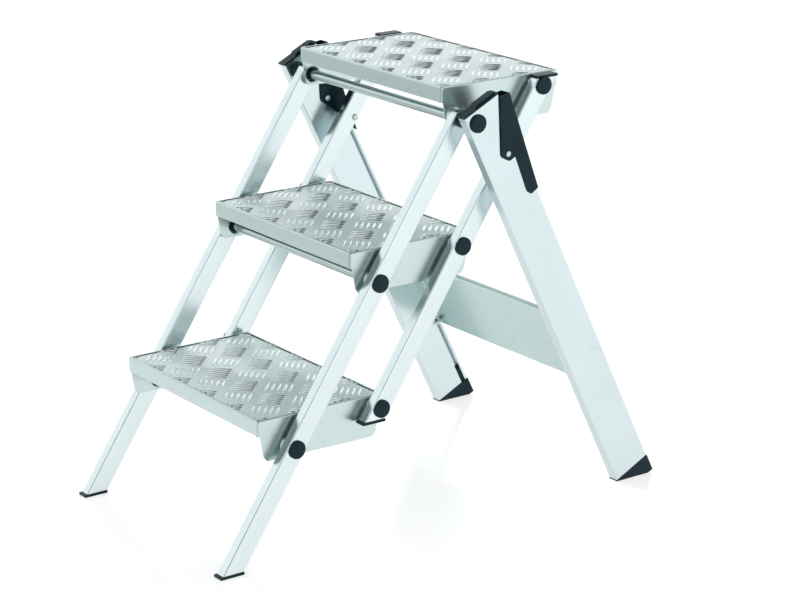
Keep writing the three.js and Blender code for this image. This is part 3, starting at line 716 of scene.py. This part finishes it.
def add_bar(bm, middle, along, ground):
    """One raised bar, pointed at both ends, as a closed shell."""
    across = Vector((-along.y, along.x))
    rows = []
    for k in range(BAR_STEPS + 1):
        t = -math.cos(math.pi * k / BAR_STEPS)
        swell = max(1 - t * t, 0)
        half = BAR_WIDTH / 2 * swell ** BAR_TAPER
        height = BAR_HEIGHT * swell ** BAR_CREST
        spine = middle + along * t * BAR_LENGTH / 2
        if k in (0, BAR_STEPS):
            rows.append([bm.verts.new((spine.x, spine.y, ground - SUNK))])
            continue
        row = [bm.verts.new((*(spine + across * half * BAR_SECTION[0][0]), ground - SUNK))]
        for u, v in BAR_SECTION:
            row.append(bm.verts.new((*(spine + across * half * u), ground + height * v)))
        row.append(bm.verts.new((*(spine + across * half * BAR_SECTION[-1][0]), ground - SUNK)))
        rows.append(row)
    for first, second in zip(rows, rows[1:]):
        bridge_or_fan(bm, first, second)


def add_group(bm, x, y, along, ground):
    """Five bars side by side."""
    across = Vector((-along.y, along.x))
    for k in range(BARS):
        offset = (k - (BARS - 1) / 2) * BAR_PITCH
        add_bar(bm, Vector((x, y)) + across * offset, along, ground)


def trim(bm, point, normal):
    """Cuts away what stands beyond a plane and closes the cut."""
    everything = bm.verts[:] + bm.edges[:] + bm.faces[:]
    result = bmesh.ops.bisect_plane(
        bm, geom=everything, dist=0.0001, plane_co=point, plane_no=normal, clear_outer=True)
    cut = [item for item in result["geom_cut"] if isinstance(item, bmesh.types.BMEdge)]
    bmesh.ops.edgenet_fill(bm, edges=cut)


def add_bars(bm, size, edge, ground):
    """Five-bar pattern: groups of one slant on a square lattice, the other slant between them."""
    half_x, y0, y1 = size[:3]
    pitch_x = 2 * half_x / GROUPS_ACROSS
    pitch_y = (y1 - y0) / GROUPS_DEEP
    slant = math.sqrt(0.5)
    for i in range(GROUPS_ACROSS + 1):
        for j in range(GROUPS_DEEP + 1):
            x = -half_x + pitch_x * i
            y = y0 + pitch_y * j
            add_group(bm, x, y, Vector((slant, slant)), ground)
            if i < GROUPS_ACROSS and j < GROUPS_DEEP:
                add_group(bm, x + pitch_x / 2, y + pitch_y / 2, Vector((slant, -slant)), ground)
    trim(bm, (half_x - edge, 0, 0), (1, 0, 0))
    trim(bm, (-half_x + edge, 0, 0), (-1, 0, 0))
    trim(bm, (0, y0 + edge, 0), (0, -1, 0))
    trim(bm, (0, y1 - edge, 0), (0, 1, 0))


def make_plate(level, size):
    node = f"{level}_tread_plate"
    half_x, y0, y1, top = size
    ground = top - PLATE_DROP
    bm = bmesh.new()
    add_bars(bm, size, PLATE_EDGE + BAR_CLEARANCE, ground)
    layers = [
        (PLATE_EDGE, ground - PLATE_THICK),
        (PLATE_EDGE, ground - PLATE_CHAMFER),
        (PLATE_EDGE + PLATE_ROUND, ground - PLATE_ROUND),
        (PLATE_EDGE + PLATE_CHAMFER, ground),
    ]
    rings = [
        [bm.verts.new(point) for point in rectangle(half_x, y0, y1, inset, PLATE_CORNER, z)]
        for inset, z in layers
    ]
    for face in bm.faces:
        face.material_index = 1
    for first, second in zip(rings, rings[1:]):
        bridge(bm, first, second)
    bm.faces.new(rings[0])
    bm.faces.new(rings[-1])
    piece = make_piece(node + "_chequer", bm, plate_metal, node)
    piece.data.materials.append(bar_tops)
    piece.data.set_sharp_from_angle(angle=math.radians(50))


for level in LEVELS:
    make_plate(level, make_tray(level))


# ---- latches -------------------------------------------------------------------------------------

LATCH_SHEET = 2
LATCH_FOLD = 2.6
# Outlines of the U-section lever: (down the leg, back from its pivot line, corner radius).
WEB_TOP = Vector((-10, 72))
WEB_BOTTOM = Vector((158, 55.4))
CHEEK_TOP = (-15, 52.5)
NOSE = (73, 14.5, 9)
OUTER_LOWER = [(159, 38, 3), (152, 34.8, 3), (86.5, 39.8, 4), (87, 24.5, 6)]
INNER_HOOK = (128, 43.5, 3)


def make_latch(side_name):
    """A lever folded round the leg's rear edge: an outer cheek, the web and an inner cheek."""
    node = f"latch_{side_name}"
    low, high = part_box(node)
    side = 1 if high.x > 0 else -1
    outer, inner = (high.x, low.x) if side > 0 else (low.x, high.x)
    outer, inner = outer / MM, inner / MM
    along = (WEB_BOTTOM - WEB_TOP).normalized()
    inward = Vector((along.y, -along.x))
    fold_top = WEB_TOP + inward * LATCH_FOLD
    fold_bottom = WEB_BOTTOM + inward * LATCH_FOLD
    bm = bmesh.new()
    for x, lower in ((outer, OUTER_LOWER), (inner, [INNER_HOOK])):
        corners = [CHEEK_TOP, tuple(fold_top), tuple(fold_bottom), *lower, NOSE]
        ring = loop(bm, [on_leg(x, *point) for point in filleted(corners, 8)])
        bmesh.ops.triangle_fill(bm, use_beauty=True, edges=ring[1])
    rows = []
    for x, toward in ((outer, -side), (inner, side)):
        arc = []
        for angle in QUARTER:
            step = inward * LATCH_FOLD * (1 - math.sin(angle))
            where = x + toward * LATCH_FOLD * (1 - math.cos(angle))
            arc.append([on_leg(where, *(WEB_TOP + step)), on_leg(where, *(WEB_BOTTOM + step))])
        rows += arc if toward == -side else arc[::-1]
    strip(bm, rows_of(bm, rows))
    piece = make_piece(node + "_sheet", bm, black_paint, node, Vector((side, 0, 0)))
    thicken(piece, LATCH_SHEET * MM)


for side_name in SIDES:
    make_latch(side_name)


# ---- crossbar ------------------------------------------------------------------------------------

CROSSBAR_TOP = 442                # down the leg from its pivot
CROSSBAR_BOTTOM = 584
CROSSBAR_FACE = 49.8              # back from the leg's pivot line
CROSSBAR_RIM = 8
CROSSBAR_SHEET = 2
CROSSBAR_FOLD = 4.5
END_FOLD = 1.8                    # where the end flanges turn forward
FLANGE_FRONT = 35.5
FLANGE_CORNER = 4
BOLT_HOLE = 3.3                   # radius
BOLT_BACK = 43
BOLT_INSET = 10
HOLE_SIDES = 32


def crossbar_end(bm, side, flange_x, low, high):
    """One end: a fold forward, and a flange with two bolt holes beside the leg."""
    rows = []
    for angle in QUARTER:
        x = side * (flange_x - END_FOLD + END_FOLD * math.sin(angle))
        back = CROSSBAR_FACE - END_FOLD * (1 - math.cos(angle))
        rows.append([on_leg(x, low, back), on_leg(x, high, back)])
    strip(bm, rows_of(bm, rows))
    corners = [
        (low, CROSSBAR_FACE - END_FOLD),
        (high, CROSSBAR_FACE - END_FOLD),
        (high, FLANGE_FRONT, FLANGE_CORNER),
        (low, FLANGE_FRONT, FLANGE_CORNER),
    ]
    x = side * flange_x
    edges = loop(bm, [on_leg(x, *point) for point in filleted(corners)])[1]
    for down in (CROSSBAR_TOP + BOLT_INSET, CROSSBAR_BOTTOM - BOLT_INSET):
        edges += loop(bm, [
            on_leg(x, down + BOLT_HOLE * math.cos(a), BOLT_BACK + BOLT_HOLE * math.sin(a))
            for a in angles_round(HOLE_SIDES)
        ])[1]
    bmesh.ops.triangle_fill(bm, use_beauty=True, edges=edges)


def make_crossbar():
    """A shallow pan: long edges folded back, ends folded forward beside the legs."""
    flange_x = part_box("crossbar")[1].x / MM - CROSSBAR_SHEET
    reach = flange_x - END_FOLD
    rim = CROSSBAR_FACE + CROSSBAR_RIM
    corners = [
        (CROSSBAR_TOP, rim),
        (CROSSBAR_TOP, CROSSBAR_FACE, CROSSBAR_FOLD),
        (CROSSBAR_BOTTOM, CROSSBAR_FACE, CROSSBAR_FOLD),
        (CROSSBAR_BOTTOM, rim),
    ]
    section = filleted(corners, FOLD_STEPS, closed=False)
    bm = bmesh.new()
    strip(bm, rows_of(bm, [[on_leg(-reach, *p), on_leg(reach, *p)] for p in section]))
    for side in (1, -1):
        crossbar_end(bm, side, flange_x, CROSSBAR_TOP + CROSSBAR_FOLD, CROSSBAR_BOTTOM - CROSSBAR_FOLD)
    forward = Vector((0, -math.sin(LEG_LEAN), -math.cos(LEG_LEAN)))
    piece = make_piece("crossbar_sheet", bm, bar_metal, "crossbar", forward)
    thicken(piece, CROSSBAR_SHEET * MM)


make_crossbar()


# ---- stage, lights and camera --------------------------------------------------------------------

make_floor()
make_studio()
make_camera()
